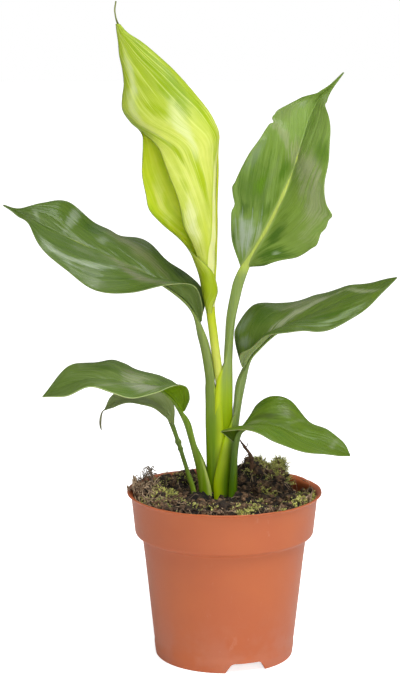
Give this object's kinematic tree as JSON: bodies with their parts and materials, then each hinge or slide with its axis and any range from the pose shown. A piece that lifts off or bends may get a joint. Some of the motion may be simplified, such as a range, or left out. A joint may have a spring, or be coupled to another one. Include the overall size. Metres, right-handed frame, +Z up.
{
  "type": "potted plant",
  "caption": "Young bird of paradise plant with a fan of waved oval leaves and a rolled young leaf, in a round tapered nursery pot with soil.",
  "frame": {"origin": "middle of the whole plant's footprint, on the surface that the pot stands on", "axes": "+Z up along the stalks, +X to the right in the picture along the fan of leaves, +Y away from the viewer"},
  "size_m": [0.2385, 0.12, 0.4006],
  "materials": {
    "pot": "satin terracotta coloured plastic",
    "soil": null,
    "rootstock": null,
    "dry_root": "dry, fibrous",
    "leaf": null,
    "dull_leaf": null,
    "young_leaf": null
  },
  "bodies": {
    "root": {"pot": "pot", "soil": "soil", "crown": "rootstock", "dry_root": "dry_root", "upper_left_leaf": "leaf", "upper_right_leaf": "leaf", "mid_right_leaf": "leaf", "lower_left_leaf": "leaf", "lower_left_small_leaf": "dull_leaf", "lower_right_leaf": "leaf", "young_leaf": "young_leaf"}
  },
  "joints": []
}
